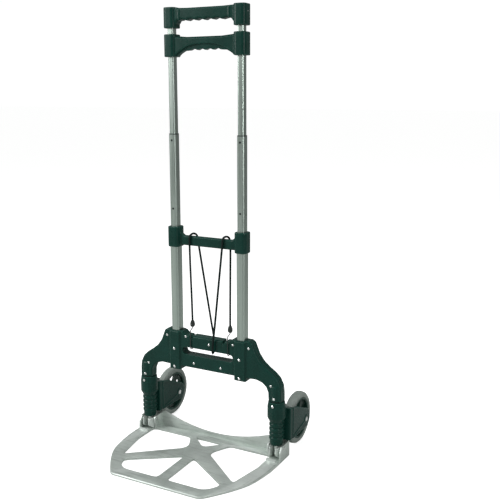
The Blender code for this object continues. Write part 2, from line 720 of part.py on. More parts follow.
def post(side, sign):
    x = sign * POST_X
    half_groove = RIVET_RADIUS + 2 * FIT
    profile = [(0, POST_BOTTOM), (POST_RADIUS - 0.001, POST_BOTTOM), (POST_RADIUS, POST_BOTTOM + 0.001),
               (POST_RADIUS, GROOVE_Z - half_groove), (POST_RADIUS - GROOVE_DEPTH, GROOVE_Z - half_groove),
               (POST_RADIUS - GROOVE_DEPTH, GROOVE_Z + half_groove), (POST_RADIUS, GROOVE_Z + half_groove),
               (POST_RADIUS, POST_TOP), (0, POST_TOP)]
    item = finish_mesh(f"post_{side}", turned(profile, "Z", (x, 0, 0), 14), "steel", smooth=True)
    cut(item, rod("X", (0, PIVOT_Z), PIN_RADIUS + FIT, x - 0.02, x + 0.02, 12))


def foot(side, sign):
    """The casting under the post: faceted front with a slot, its underside round about the hinge pin."""
    x = sign * POST_X
    inner = KNUCKLE_RADIUS - EAR_GAP
    flat = inner - 0.0060
    plan = [(x - inner, FOOT_REAR), (x - inner, -FOOT_FACET), (x - flat, FOOT_FRONT),
            (x + flat, FOOT_FRONT), (x + inner, -FOOT_FACET), (x + inner, FOOT_REAR)]
    item = finish_mesh(f"post_foot_{side}", prism(plan, "Z", 0.001, FOOT_TOP, 0.0008, ("high",)), "plate")
    reach = PIVOT_Z - PLATE_THICKNESS - EAR_GAP
    round_bottom = arc((0, PIVOT_Z), reach, 180, 360, 12)
    guide = [(reach, FOOT_TOP + CUT_OVER), (-reach, FOOT_TOP + CUT_OVER)] + round_bottom
    add_boolean(item, prism(guide, "X", x - 0.03, x + 0.03), "INTERSECT")
    bore = rod("Z", (x, 0), POST_RADIUS + FIT, POST_BOTTOM - FIT, FOOT_TOP + CUT_OVER, 16)
    slot = block((x - FOOT_SLOT / 2, FOOT_FRONT - CUT_OVER, POST_BOTTOM - FIT), (x + FOOT_SLOT / 2, -0.002,
                                                                           FOOT_TOP + CUT_OVER))
    pin = rod("X", (0, PIVOT_Z), PIN_RADIUS + FIT, x - 0.03, x + 0.03, 12)
    cut(item, bore, slot, pin)


def hinge_pin(side, sign):
    outside = PLATE_HALF_WIDTH + EAR_GAP
    inside = POST_X - KNUCKLE_RADIUS - EAR_GAP - EAR_THICKNESS - 0.0012
    low, high = sorted((sign * inside, sign * outside))
    finish_mesh(f"hinge_pin_{side}", rod("X", (0, PIVOT_Z), PIN_RADIUS, low, high, 12, 0.0005),
                "steel", origin=(sign * POST_X, 0, PIVOT_Z), smooth=True)


def thrust_washer(side, sign):
    x = sign * POST_X
    top = COLLAR_BOTTOM - FIT
    inner = POST_RADIUS + FIT
    outer = COLLAR_RADIUS - 0.0008
    profile = [(inner, top), (inner, top - WASHER_THICKNESS), (outer, top - WASHER_THICKNESS), (outer, top)]
    finish_mesh(f"thrust_washer_{side}", turned(profile, "Z", (x, 0, 0), 20), "black", smooth=True)


# ---- wheel forks ----

def fork_arm_outline():
    """An arm of the fork from the side, as (y, z), with a round end about the axle."""
    end = arc((AXLE_BACK, WHEEL_RADIUS + 0.0020), 0.0240, 62, -75, 8)
    return [(0.0270, FORK_BOTTOM), (0.0140, FORK_BOTTOM), (0.0140, 0.1235), (0.0260, 0.1215),
            (0.0500, 0.1155)] + end + [(AXLE_BACK - 0.0340, FORK_BOTTOM - 0.0005)]


def knuckle_profile():
    barrel_top = COLLAR_BOTTOM - 2 * FIT - WASHER_THICKNESS
    bore = POST_RADIUS + SLIDE_FIT
    rib_zone = (KNUCKLE_BOTTOM, BARREL_BOTTOM - 0.008)
    pitch = (rib_zone[1] - rib_zone[0]) / RIB_COUNT
    profile = [(bore, barrel_top), (bore, KNUCKLE_BOTTOM)]
    for index in range(RIB_COUNT):
        low = rib_zone[0] + index * pitch
        profile += [(KNUCKLE_RADIUS - RIB_NOTCH, low), (KNUCKLE_RADIUS, low + 0.25 * pitch),
                    (KNUCKLE_RADIUS, low + 0.8 * pitch)]
    profile += [(KNUCKLE_RADIUS, BARREL_BOTTOM - 0.007), (BARREL_RADIUS, BARREL_BOTTOM + 0.004),
                (BARREL_RADIUS, barrel_top - 0.012), (BARREL_RADIUS - 0.002, barrel_top)]
    return profile


def wheel_fork(side, sign):
    x = sign * POST_X
    middle = x + sign * FORK_OFFSET
    half = FORK_WIDTH / 2
    item = finish_mesh(f"wheel_fork_{side}", turned(knuckle_profile(), "Z", (x, 0, 0), 16), "plastic",
                       origin=(x, 0, 0), smooth=True)
    body = prism(fork_arm_outline(), "X", middle - half, middle + half, 0.0012)
    gap = prism([(FORK_WEB_REAR, 0.0), (AXLE_BACK + 0.06, 0.0), (AXLE_BACK + 0.06, 0.16),
                 (FORK_WEB_REAR, 0.16)], "X", middle - half + FORK_WALL, middle + half - FORK_WALL)
    holes = [rod("X", (AXLE_BACK, WHEEL_RADIUS), AXLE_RADIUS + FIT, middle - half - 0.01,
                 middle + half + 0.01, 12)]
    arms = finish_mesh(f"fork_arms_{side}", body)
    cut(arms, gap, joined(*holes))
    hide_helper(arms)
    modifier = item.modifiers.new("Arms", "BOOLEAN")
    modifier.operation = "UNION"
    modifier.solver = "EXACT"
    modifier.object = arms
    bore = rod("Z", (x, 0), POST_RADIUS + SLIDE_FIT, 0.02, 0.2, 16)
    rivet_hole = rod("Y", (x, GROOVE_Z), RIVET_RADIUS + FIT, -0.04, 0, 8)
    cut(item, bore, rivet_hole)


def fork_rivet(side, sign):
    """The blind rivet whose tip runs in the post's groove and keeps the fork on it."""
    tip = -(POST_RADIUS - GROOVE_DEPTH + 3 * FIT)
    blind_rivet(f"fork_rivet_{side}", (sign * POST_X, GROOVE_Z), -BARREL_RADIUS, tip)


def axle(side, sign):
    middle = sign * (POST_X + FORK_OFFSET)
    half = FORK_WIDTH / 2 + FIT
    head, height = AXLE_HEAD
    profile = [(0, -half - height), (head * 0.6, -half - height * 0.85), (head, -half - height * 0.3),
               (head, -half), (AXLE_RADIUS, -half), (AXLE_RADIUS, half), (head, half),
               (head, half + height * 0.3), (head * 0.6, half + height * 0.85), (0, half + height)]
    centre = (middle, AXLE_BACK, WHEEL_RADIUS)
    finish_mesh(f"axle_{side}", turned(profile, "X", centre, 12), "steel", origin=centre, smooth=True)


# ---- wheels ----

def wheel_centre(sign):
    return (sign * (POST_X + FORK_OFFSET), AXLE_BACK, WHEEL_RADIUS)


def tyre(side, sign):
    half = TYRE_WIDTH / 2
    inner = WHEEL_RADIUS - TYRE_DEPTH
    profile = [(inner, half * 0.9), (inner, -half * 0.9), (inner + 0.003, -half),
               (WHEEL_RADIUS - 0.005, -half * 0.92), (WHEEL_RADIUS - 0.0012, -half * 0.6),
               (WHEEL_RADIUS, 0), (WHEEL_RADIUS - 0.0012, half * 0.6), (WHEEL_RADIUS - 0.005, half * 0.92),
               (inner + 0.003, half)]
    centre = wheel_centre(sign)
    finish_mesh(f"tyre_{side}", turned(profile, "X", centre, 36), "tyre", origin=centre, smooth=True)


def hub(side, sign):
    """A spoked hub, its rim inside the tyre and its boss on the axle bush."""
    centre = wheel_centre(sign)
    rim = WHEEL_RADIUS - TYRE_DEPTH - FIT
    rim_half = TYRE_WIDTH * 0.43
    web_half = 0.004
    boss_half = HUB_WIDTH / 2
    bore = AXLE_RADIUS + SLIDE_FIT + WHEEL_BUSH_WALL + FIT
    inner_rim = rim - HUB_RIM_WALL
    profile = [(bore, boss_half), (bore, -boss_half), (HUB_BOSS_RADIUS - 0.002, -boss_half),
               (HUB_BOSS_RADIUS, -web_half), (inner_rim, -web_half), (inner_rim, -rim_half), (rim, -rim_half),
               (rim, rim_half), (inner_rim, rim_half), (inner_rim, web_half), (HUB_BOSS_RADIUS, web_half),
               (HUB_BOSS_RADIUS - 0.002, boss_half)]
    item = finish_mesh(f"wheel_hub_{side}", turned(profile, "X", centre, 24), "hub", origin=centre,
                       smooth=True)
    windows = []
    for index in range(SPOKE_COUNT):
        start = 360 * index / SPOKE_COUNT + 10
        end = start + 360 / SPOKE_COUNT - 20
        outline = (arc((AXLE_BACK, WHEEL_RADIUS), inner_rim - 0.002, start, end, 3)
                   + arc((AXLE_BACK, WHEEL_RADIUS), HUB_BOSS_RADIUS + 0.004, end - 6, start + 6, 2))
        windows.append(prism(outline, "X", centre[0] - 0.015, centre[0] + 0.015))
    cut(item, joined(*windows))


def wheel_bush(side, sign):
    centre = wheel_centre(sign)
    half = HUB_WIDTH / 2 + 0.0008
    inner = AXLE_RADIUS + SLIDE_FIT / 2
    outer = inner + WHEEL_BUSH_WALL
    profile = [(inner, half), (inner, -half), (outer, -half), (outer, half)]
    finish_mesh(f"wheel_bush_{side}", turned(profile, "X", centre, 12), "black", origin=centre, smooth=True)


# ---- toe plate ----

def plate_outline():
    half = PLATE_HALF_WIDTH
    depth = PLATE_REAR - PLATE_FRONT
    right = [(half, PLATE_REAR), (half, PLATE_REAR - 0.36 * depth), (half * 0.93, PLATE_REAR - 0.63 * depth),
             (half * 0.80, PLATE_REAR - 0.80 * depth), (half * 0.63, PLATE_FRONT + 0.010),
             (half * 0.58, PLATE_FRONT)]
    corners = [0, 0.03, 0.02, 0.02, 0.010, 0.012]
    left = [(-x, y) for x, y in reversed(right)]
    return rounded(right + left, corners + corners[::-1], 2)


def plate_windows():
    """The five openings: two in front, one at each side and a small one behind the hub."""
    half = PLATE_HALF_WIDTH
    depth = PLATE_REAR - PLATE_FRONT
    front = PLATE_FRONT + FRONT_BAND
    rear = PLATE_REAR - REAR_BAND
    hub_y = PLATE_REAR - 0.32 * depth
    diagonal = Vector((half * 0.735, PLATE_REAR - 0.745 * depth - hub_y))
    normal = Vector((-diagonal.y, diagonal.x)).normalized() * DIAGONAL_WIDTH / 2
    far = Vector((0, hub_y)) + diagonal
    rib = RIB_WIDTH / 2
    front_window = [(rib, hub_y - 0.038), tuple(far - normal * 0.9 + Vector((-0.010, 0.004))),
                    (half * 0.599, front + 0.012), (half * 0.519, front), (rib, front)]
    side_window = [(half - SIDE_BAND, rear), (half - SIDE_BAND, PLATE_REAR - 0.36 * depth),
                   (half * 0.93 - SIDE_BAND + 0.001, PLATE_REAR - 0.60 * depth),
                   tuple(far + normal * 0.85 + Vector((-0.001, 0.012))), (0.0360, hub_y - 0.006),
                   (0.0330, hub_y + 0.012), (0.0560, rear)]
    rear_window = [(0.0400, rear), (0.0050, hub_y + 0.024), (-0.0050, hub_y + 0.024), (-0.0400, rear)]
    windows = []
    for sign in (-1, 1):
        for outline in (front_window, side_window):
            windows.append(rounded([(sign * x, y) for x, y in outline], 0.010, 2))
    windows.append(rounded(rear_window, 0.004, 2))
    return windows


def flange_top(x):
    peak = min(abs(x), FLANGE_PEAK_X) / FLANGE_PEAK_X
    return FLANGE_MIDDLE_TOP + (FLANGE_PEAK_TOP - FLANGE_MIDDLE_TOP) * peak ** 2


def toe_plate():
    origin = (0, 0, PIVOT_Z)
    item = finish_mesh("toe_plate", prism(plate_outline(), "Z", 0, PLATE_THICKNESS, 0.0012, ("high",)),
                       "plate", origin)
    span = [FLANGE_PEAK_X * (1 - 2 * n / FLANGE_STEPS) for n in range(FLANGE_STEPS + 1)]
    crest = [(x, flange_top(x)) for x in span]
    shoulder = FLANGE_PEAK_TOP - 0.0025
    edge = PLATE_HALF_WIDTH
    flange = [(-edge, 0.0002), (edge, 0.0002), (edge, shoulder), (FLANGE_PEAK_X + 0.006, shoulder)] + crest
    flange += [(-FLANGE_PEAK_X - 0.006, shoulder), (-edge, shoulder)]
    unite(item, prism(flange, "Y", PLATE_REAR - FLANGE_THICKNESS, PLATE_REAR - 0.0001))
    outer_ear = [(PLATE_REAR - 0.001, 0.0005), (PLATE_REAR - 0.001, shoulder - 0.0005), (-0.0110, 0.0350),
                 (-0.0190, 0.0240), (-0.0210, 0.0005)]
    knuckle_side = POST_X - KNUCKLE_RADIUS - EAR_GAP
    inner_ear = ([(PLATE_REAR - 0.001, 0.0005), (PLATE_REAR - 0.001, shoulder - 0.002), (0.0060, 0.0362)]
                 + arc((0, PIVOT_Z), 0.0085, 75, 180, 4) + [(-0.0120, 0.0005)])
    for _, sign in SIDES:
        low, high = sorted((sign * (edge - EAR_THICKNESS), sign * (edge - 0.0001)))
        unite(item, prism(outer_ear, "X", low, high))
        low, high = sorted((sign * (knuckle_side - EAR_THICKNESS), sign * knuckle_side))
        unite(item, prism(inner_ear, "X", low, high))
        lip = block((sign * POST_X - 0.012, -0.0300, 0.0005),
                    (sign * POST_X + 0.012, -0.0300 + LIP_THICKNESS, LIP_TOP))
        unite(item, lip)
    cut(item, joined(*[prism(outline, "Z", -0.01, 0.02) for outline in plate_windows()]))
    pins = [rod("X", (0, PIVOT_Z), PIN_RADIUS + FIT, sign * POST_X - 0.03, sign * POST_X + 0.03, 12)
            for _, sign in SIDES]
    cut(item, joined(*pins))


# ---- elastic cord ----

def smooth_route(points, per_span):
    """Catmull-Rom through the points, with per_span samples in each span."""
    route = [Vector(point) for point in points]
    padded = [2 * route[0] - route[1]] + route + [2 * route[-1] - route[-2]]
    samples = []
    for before, start, end, after in zip(padded, padded[1:], padded[2:], padded[3:]):
        for step in range(per_span):
            t = step / per_span
            samples.append(0.5 * (2 * start + (end - before) * t
                                  + (2 * before - 5 * start + 4 * end - after) * t ** 2
                                  + (3 * start - before - 3 * end + after) * t ** 3))
    samples.append(route[-1])
    return samples


def tube_along(name, samples, radius, kind, resolution=2):
    curve = bpy.data.curves.new(name, "CURVE")
    curve.dimensions = "3D"
    curve.bevel_depth = radius
    curve.bevel_resolution = resolution
    curve.use_fill_caps = True
    curve.twist_mode = "MINIMUM"
    spline = curve.splines.new("POLY")
    spline.points.add(len(samples) - 1)
    for point, place in zip(spline.points, samples):
        point.co = (*place, 1.0)
    item = bpy.data.objects.new(name, curve)
    bpy.context.collection.objects.link(item)
    curve.materials.append(material_for(name, kind))
    return item


# The cord runs from the left ferrule up and over the crossbar, round the bracket's upper bar,
# over the crossbar again and down to the right ferrule. Across, it is laid out for CORD_LAYOUT
# between the tubes and spreads with them.
CORD_LAYOUT = 0.1786
CORD_ROUTE = (
    (-0.0380, -0.0140, 0.3090), (-0.0405, -0.0125, 0.3700), (-0.0440, -0.0108, 0.4400),
    (-0.0458, -0.0096, 0.4860), (-0.0460, -0.0094, 0.5060), (-0.0445, -0.0068, 0.5130),
    (-0.0410, 0.0000, 0.5160), (-0.0375, 0.0068, 0.5130), (-0.0355, 0.0094, 0.5060),
    (-0.0330, 0.0101, 0.4880), (-0.0238, 0.0122, 0.4270), (-0.0138, 0.0144, 0.3620),
    (-0.0030, 0.0165, 0.2930), (0.0010, 0.0180, 0.2660), (0.0026, 0.0183, 0.2440),
    (0.0046, 0.0150, 0.2362), (0.0080, 0.0072, 0.2332), (0.0132, -0.0072, 0.2332),
    (0.0170, -0.0150, 0.2362), (0.0186, -0.0183, 0.2440), (0.0200, -0.0180, 0.2660),
    (0.0235, -0.0156, 0.3000), (0.0300, -0.0136, 0.3680), (0.0365, -0.0116, 0.4350),
    (0.0412, -0.0098, 0.4870), (0.0425, -0.0094, 0.5060), (0.0435, -0.0068, 0.5130),
    (0.0465, 0.0000, 0.5160), (0.0500, 0.0068, 0.5130), (0.0515, 0.0094, 0.5060),
    (0.0530, 0.0092, 0.4860), (0.0570, 0.0010, 0.4300), (0.0608, -0.0070, 0.3690),
    (0.0638, -0.0132, 0.3090),
)


def cord_route():
    spread = TUBE_SPACING / CORD_LAYOUT
    return [(x * spread, y, z) for x, y, z in CORD_ROUTE]


def elastic_cord():
    tube_along("elastic_cord", smooth_route(cord_route(), 2), CORD_RADIUS, "cord")


def cord_end(side, sign):
    """A ferrule on the cord's end and the wire hook that comes out of it and grips the upper bar."""
    x, y, z = cord_route()[0 if sign < 0 else -1]
    top = z - 2 * FIT
    bottom = top - FERRULE_LENGTH
    profile = [(0, bottom), (FERRULE_RADIUS * 0.6, bottom), (FERRULE_RADIUS, bottom + 0.003),
               (FERRULE_RADIUS, top - 0.006), (FERRULE_RADIUS * 0.7, top), (0, top)]
    finish_mesh(f"cord_ferrule_{side}", turned(profile, "Z", (x, y, 0), 10), "black",
                origin=(x, y, bottom), smooth=True)
    front = -BRACKET_PLATE_DEPTH - HOOK_RADIUS - HOOK_GAP
    under = UPPER_BAR[0] - HOOK_RADIUS - 1.5 * HOOK_GAP
    wire_x = x - HOOK_SIDESTEP
    route = [(x, y, bottom - FIT), (x - 0.001, y, bottom - 0.004), (wire_x, (y + front) / 2, bottom - 0.011),
             (wire_x, front, UPPER_BAR[1] + 0.002), (wire_x, front, UPPER_BAR[0] + 0.006),
             (wire_x, front + 0.0002, under + 0.0032), (wire_x, front + 0.0015, under + 0.0008),
             (wire_x, front + 0.0045, under), (wire_x, 0.004, under), (wire_x, 0.009, under + 0.0005)]
    tube_along(f"cord_hook_{side}", smooth_route(route, 2), HOOK_RADIUS, "black")


# ---- assembly ----

def main():
    clear_scene()
    for side, sign in SIDES:
        outer_tube(side, sign)
        middle_tube(side, sign)
        guide_bush(side, sign)
        upper_tube(side, sign)
        lock_plug(side, sign)
        lock_pin(side, sign)
        release_rod(side, sign)
        release_spring(side, sign)
        cross_pin(f"grip_pin_{side}", sign, GRIP_PIN_Z, GRIP_PIN_REACH, GRIP_PIN_REACH)
        cross_pin(f"handle_pin_{side}", sign, HANDLE_PIN_Z, GRIP_PIN_REACH, SLEEVE_WIDTH / 2 - FIT)
        detent(side, sign)
        post(side, sign)
        foot(side, sign)
        hinge_pin(side, sign)
        thrust_washer(side, sign)
        wheel_fork(side, sign)
        fork_rivet(side, sign)
        tube_rivets(side, sign)
        cord_end(side, sign)
        axle(side, sign)
        tyre(side, sign)
        hub(side, sign)
        wheel_bush(side, sign)
    top_handle()
    release_grip()
    crossbar()
    bracket_shell("base_bracket_front", -1)
    bracket_shell("base_bracket_rear", 1)
    toe_plate()
    elastic_cord()


main()
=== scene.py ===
"""Looks for the folding hand truck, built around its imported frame. Metres, in the row frame."""

import json
import math

import bmesh
import bpy
from mathutils import Matrix, Vector


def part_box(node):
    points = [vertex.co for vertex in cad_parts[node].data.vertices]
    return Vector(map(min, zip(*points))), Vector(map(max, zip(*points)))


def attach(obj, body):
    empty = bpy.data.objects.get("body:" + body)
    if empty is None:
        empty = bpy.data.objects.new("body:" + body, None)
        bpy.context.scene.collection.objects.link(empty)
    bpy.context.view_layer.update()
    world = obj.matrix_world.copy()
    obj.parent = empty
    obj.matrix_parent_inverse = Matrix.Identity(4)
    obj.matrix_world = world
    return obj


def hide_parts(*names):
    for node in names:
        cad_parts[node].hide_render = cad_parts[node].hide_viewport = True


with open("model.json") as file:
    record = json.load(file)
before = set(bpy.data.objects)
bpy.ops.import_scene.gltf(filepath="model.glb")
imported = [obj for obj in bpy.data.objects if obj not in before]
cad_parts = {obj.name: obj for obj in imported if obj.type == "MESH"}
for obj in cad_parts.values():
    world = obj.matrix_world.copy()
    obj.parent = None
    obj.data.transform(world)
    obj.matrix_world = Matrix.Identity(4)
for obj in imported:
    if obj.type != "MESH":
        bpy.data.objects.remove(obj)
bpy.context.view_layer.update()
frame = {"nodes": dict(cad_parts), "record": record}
NODES = frame["nodes"]
BODY_OF = {node: body for body, members in frame["record"]["behaviour"]["bodies"].items()
           for node in members}
SLOT_OF = {entry["node"]: entry["material_slot"] for entry in frame["record"]["subparts"]}
SIDES = (("left", -1), ("right", 1))

# ---- places and sizes read from the frame ----
TUBE_X = sum((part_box("outer_tube_right")[end].x for end in (0, 1))) / 2
POST_X = sum((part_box("post_right")[end].x for end in (0, 1))) / 2
WHEEL_LOW, WHEEL_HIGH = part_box("tyre_right")
WHEEL_X = (WHEEL_LOW.x + WHEEL_HIGH.x) / 2
AXLE_Y = (WHEEL_LOW.y + WHEEL_HIGH.y) / 2
AXLE_Z = (WHEEL_LOW.z + WHEEL_HIGH.z) / 2

# ---- camera, light and floor ----
CAMERA_PLACE = (0.8918, -1.4833, 0.8347)
CAMERA_TILT = 11.59                # degrees below level
CAMERA_TURN = 27.83                # degrees to the left of straight back
CAMERA_LENS = 54.70
SENSOR_WIDTH = 36.0
WORLD_LIGHT = 0.30                 # what the surroundings give as light
WORLD_SEEN = 1.02                  # what the camera sees of them
FLOOR_REACH = 40.0
FLOOR_DROP = 0.0004
FLOOR_COLOUR = (0.62, 0.63, 0.62, 1)
FLOOR_GLOW = 0.02
FLOOR_SEEN = 0.80
LAMPS = (                          # name, place, width and height, power, aim
    ("key", (-2.2, -1.9, 1.9), (0.7, 1.8), 70, (0, 0, 0.5)),
    ("fill", (2.6, -1.3, 1.5), (0.22, 2.2), 24, (0, 0, 0.5)),
    ("top", (0.0, 0.3, 3.0), (1.6, 1.6), 34, (0, 0, 0.3)))

# ---- how pieces are made from the nodes' surfaces ----
WELD = 1e-6
COPY_WELD = 1e-5
FLAT_ANGLE = 1.0                   # degrees, up to which faces count as one flat area
BEVEL_WIDTH = 0.0007
BEVEL_SEGMENTS = 2
BEVEL_ANGLE = 30
FINISHED_SHARP = 35                # degrees, from which an edge is drawn sharp
HEAD_SHARP = 40
DRILLED_SHARP = 45
CIRCLE_STEPS = 24

# ---- how softly the mouldings are rounded ----
VOXEL = 0.0010
FINE_VOXEL = 0.0009
CROSSBAR_ROUNDS = 4
BRACKET_ROUNDS = 3
HANDLE_ROUNDS = 4
FORK_ROUNDS = 2
SMOOTH_FACTOR = 0.5

# ---- wheel forks: rings on the knuckle, ribs and bosses on the arms ----
KNUCKLE_RINGS = 5
KNUCKLE_LOW = 0.0530
KNUCKLE_HIGH = 0.0975
RING_BORE = 0.0146
RING_REACH = 0.0172
RING_CHAMFER = 0.0008
RING_FLAT = 0.0020                 # half the height of a ring's outermost band
RING_HALF = 0.0036                 # half the whole ring's height
ARM_HALF = 0.0255                  # from the wheel's middle plane to an arm's outer face
RIB_SINK = 0.0020
RIB_RISE = 0.0013
RIB_THICK = 0.0034
BOSS_RADIUS = 0.0105
ARM_RIBS = (((0.035, 0.050), (0.096, 0.061)), ((0.029, 0.119), (0.049, 0.1135)),
            ((0.049, 0.1135), (0.107, 0.0870)), ((0.068, 0.0457), (0.030, 0.0460)),
            ((0.029, 0.048), (0.029, 0.118)))

# ---- base bracket: bent arms closed over the posts ----
POST_TOP = 0.1915
PLUG_LOW = 0.1925
PLUG_TOP = 0.2004
PLUG_RADIUS = 0.0080
SEAM_HALF = 0.0002                 # half the gap between the two halves
ARM_START = 0.1180
ARM_FOOT = 0.1700
ARM_BLEND = 0.0200
ARM_ROUNDS = 60                    # smoothing of the arms alone, fading in over ARM_BLEND

# ---- crossbar: detent pockets ----
POCKET_GAP = 0.0005
POCKET_RUN = 0.0020

# ---- handles: ridges on the top handle, finger band on the release grip ----
BAR_HALF = 0.0120                  # half the depth of a handle's bar
RIDGE_GAP = 0.0105                 # from the sleeve's inner side to the ridge
RIDGE_HALF = 0.0012
RIDGE_RISE = 0.0009
RIDGE_FOOT = 0.016
RIDGE_HEAD = 0.006
BAND_DEPTH = 0.0055
BAND_BELOW = 0.01                  # how far the cut runs on below the grip
ARCH_STEPS = 24
ARCH_FOOT = 0.10                   # shares of the grip's height
ARCH_CROWN = 0.56
ARCH_POWER = 2.6

# ---- rivets, studs and bush keys, as (x, z) places ----
RIVET_SINK = 0.0010
RIVET_RADIUS = 0.0030
RIVET_HEIGHT = 0.0015
STUD_RADIUS = 0.0034
STUD_HEIGHT = 0.0014
STUD_Z = 0.1515
KEY_RADIUS = 0.0026
KEY_HEIGHT = 0.00012
KEY_BELOW_TOP = 0.013
KEY_OVER_CROSSBAR = 0.042
PAIRED_RIVETS = ((0.0369, 0.201), (0.169, 0.181), (0.112, 0.2615))
SINGLE_RIVETS = ((-0.0588, 0.2648), (0.0705, 0.264), (0.0056, 0.2538))
PROBE_REACH = 0.2                  # from the middle plane to where the search for a surface starts


def set_camera():
    data = bpy.data.cameras.new("camera")
    data.lens = CAMERA_LENS
    data.sensor_width = SENSOR_WIDTH
    camera = bpy.data.objects.new("camera", data)
    camera.location = CAMERA_PLACE
    camera.rotation_euler = (math.radians(90 - CAMERA_TILT), 0, math.radians(CAMERA_TURN))
    bpy.context.scene.collection.objects.link(camera)
    bpy.context.scene.camera = camera
    bpy.context.scene.view_settings.view_transform = "Standard"
    bpy.context.scene.view_settings.look = "None"


def strength_when_seen(tree, socket, light, seen):
    """One strength for the camera's own view and a lower one for the light that is given."""
    path = tree.nodes.new("ShaderNodeLightPath")
    level = tree.nodes.new("ShaderNodeMapRange")
    level.inputs["To Min"].default_value = light
    level.inputs["To Max"].default_value = seen
    tree.links.new(path.outputs["Is Camera Ray"], level.inputs["Value"])
    tree.links.new(level.outputs["Result"], socket)


def set_world():
    world = bpy.data.worlds.new("studio")
    world.use_nodes = True
    back = world.node_tree.nodes["Background"]
    back.inputs["Color"].default_value = (1.0, 1.0, 1.0, 1.0)
    strength_when_seen(world.node_tree, back.inputs["Strength"], WORLD_LIGHT, WORLD_SEEN)
    bpy.context.scene.world = world


def set_lamps():
    for name, place, size, power, target in LAMPS:
        light = bpy.data.lights.new(name, "AREA")
        light.shape = "RECTANGLE"
        light.size, light.size_y = size
        light.energy = power
        lamp = bpy.data.objects.new(name, light)
        lamp.location = place
        lamp.rotation_euler = (Vector(target) - Vector(place)).to_track_quat("-Z", "Y").to_euler()
        bpy.context.scene.collection.objects.link(lamp)


def set_floor():
    mesh = bpy.data.meshes.new("floor")
    corners = [(x, y, 0) for x, y in ((-FLOOR_REACH, -FLOOR_REACH), (FLOOR_REACH, -FLOOR_REACH),
                                      (FLOOR_REACH, FLOOR_REACH), (-FLOOR_REACH, FLOOR_REACH))]
    mesh.from_pydata(corners, [], [(0, 1, 2, 3)])
    floor = bpy.data.objects.new("floor", mesh)
    floor.location.z = -FLOOR_DROP
    bpy.context.scene.collection.objects.link(floor)
    material = bpy.data.materials.new("floor")
    material.use_nodes = True
    shader = material.node_tree.nodes["Principled BSDF"]
    shader.inputs["Base Color"].default_value = FLOOR_COLOUR
    shader.inputs["Roughness"].default_value = 0.9
    shader.inputs["Specular IOR Level"].default_value = 0.1
    shader.inputs["Emission Color"].default_value = (1, 1, 1, 1)
    strength_when_seen(material.node_tree, shader.inputs["Emission Strength"], FLOOR_GLOW, FLOOR_SEEN)
    mesh.materials.append(material)


# ---- materials ----

class Paint:
    """Builds one node material round its Principled shader."""

    def __init__(self, name, roughness, metallic=0.0, specular=0.5):
        self.material = bpy.data.materials.new(name)
        self.material.use_nodes = True
        self.tree = self.material.node_tree
        self.shader = self.tree.nodes["Principled BSDF"]
        self.shader.inputs["Metallic"].default_value = metallic
        self.shader.inputs["Roughness"].default_value = roughness
        self.shader.inputs["Specular IOR Level"].default_value = specular
        self.coordinates = self.tree.nodes.new("ShaderNodeTexCoord")
        self.normal = None

    def link(self, source, target):
        self.tree.links.new(source, target)

    def stretched(self, stretch):
        mapping = self.tree.nodes.new("ShaderNodeMapping")
        mapping.inputs["Scale"].default_value = stretch
        self.link(self.coordinates.outputs["Object"], mapping.inputs["Vector"])
        return mapping.outputs["Vector"]

    def noise(self, scale, stretch=(1, 1, 1), detail=4.0, roughness=0.6):
        texture = self.tree.nodes.new("ShaderNodeTexNoise")
        texture.inputs["Scale"].default_value = scale
        texture.inputs["Detail"].default_value = detail
        texture.inputs["Roughness"].default_value = roughness
        self.link(self.stretched(stretch), texture.inputs["Vector"])
        return texture.outputs["Fac"]

    def cells(self, stretch):
        texture = self.tree.nodes.new("ShaderNodeTexVoronoi")
        texture.inputs["Scale"].default_value = 1.0
        self.link(self.stretched(stretch), texture.inputs["Vector"])
        return texture.outputs["Distance"]

    def spread(self, value, low, high, to_low, to_high):
        node = self.tree.nodes.new("ShaderNodeMapRange")
        for name, number in (("From Min", low), ("From Max", high), ("To Min", to_low),
                             ("To Max", to_high)):
            node.inputs[name].default_value = number
        self.link(value, node.inputs["Value"])
        return node.outputs["Result"]

    def mix(self, factor, first, second):
        """Mixes two colours, each a tuple or another node's output."""
        node = self.tree.nodes.new("ShaderNodeMix")
        node.data_type = "RGBA"
        for socket, value in zip(node.inputs[6:8], (first, second)):
            if isinstance(value, tuple):
                socket.default_value = (*value, 1.0)
            else:
                self.link(value, socket)
        self.link(factor, node.inputs[0])
        return node.outputs[2]

    def colour(self, value):
        self.link(value, self.shader.inputs["Base Color"])

    def rough(self, value):
        self.link(value, self.shader.inputs["Roughness"])

    def bump(self, height, strength, distance):
        node = self.tree.nodes.new("ShaderNodeBump")
        node.inputs["Strength"].default_value = strength
        node.inputs["Distance"].default_value = distance
        self.link(height, node.inputs["Height"])
        if self.normal:
            self.link(self.normal, node.inputs["Normal"])
        self.normal = node.outputs["Normal"]
        self.link(self.normal, self.shader.inputs["Normal"])

    def edges(self, base, wear_and_highlight):
        """Mixes a lighter colour in where the surface turns sharply outward: partly edge wear, partly a
        painted highlight along the edges.
        """
        geometry = self.tree.nodes.new("ShaderNodeNewGeometry")
        # convex edges get up to 0.6 of the lighter colour: partly wear, partly a painted edge highlight
        share = self.spread(geometry.outputs["Pointiness"], 0.505, 0.56, 0.0, 0.6)
        return self.mix(share, base, wear_and_highlight)


def plastic(name, dark, light, wear_and_highlight):
    """Grained moulded plastic with pale specks of wear, and paler on its edges as wear and as a painted edge
    highlight.
    """
    paint = Paint(name, 0.42, specular=0.15)
    cloud = paint.spread(paint.noise(28.0), 0.3, 0.7, 0.0, 1.0)
    fine = paint.noise(900.0, detail=3.0)
    tone = paint.mix(cloud, dark, light)
    speck = paint.spread(fine, 0.42, 0.62, 0.0, 0.22)
    # pale wear specks, then edges lightened as wear and as a painted highlight
    paint.colour(paint.edges(paint.mix(speck, tone, wear_and_highlight), wear_and_highlight))
    paint.rough(paint.spread(paint.noise(60.0), 0.3, 0.7, 0.24, 0.34))
    paint.bump(fine, 0.22, 0.0003)
    return paint.material


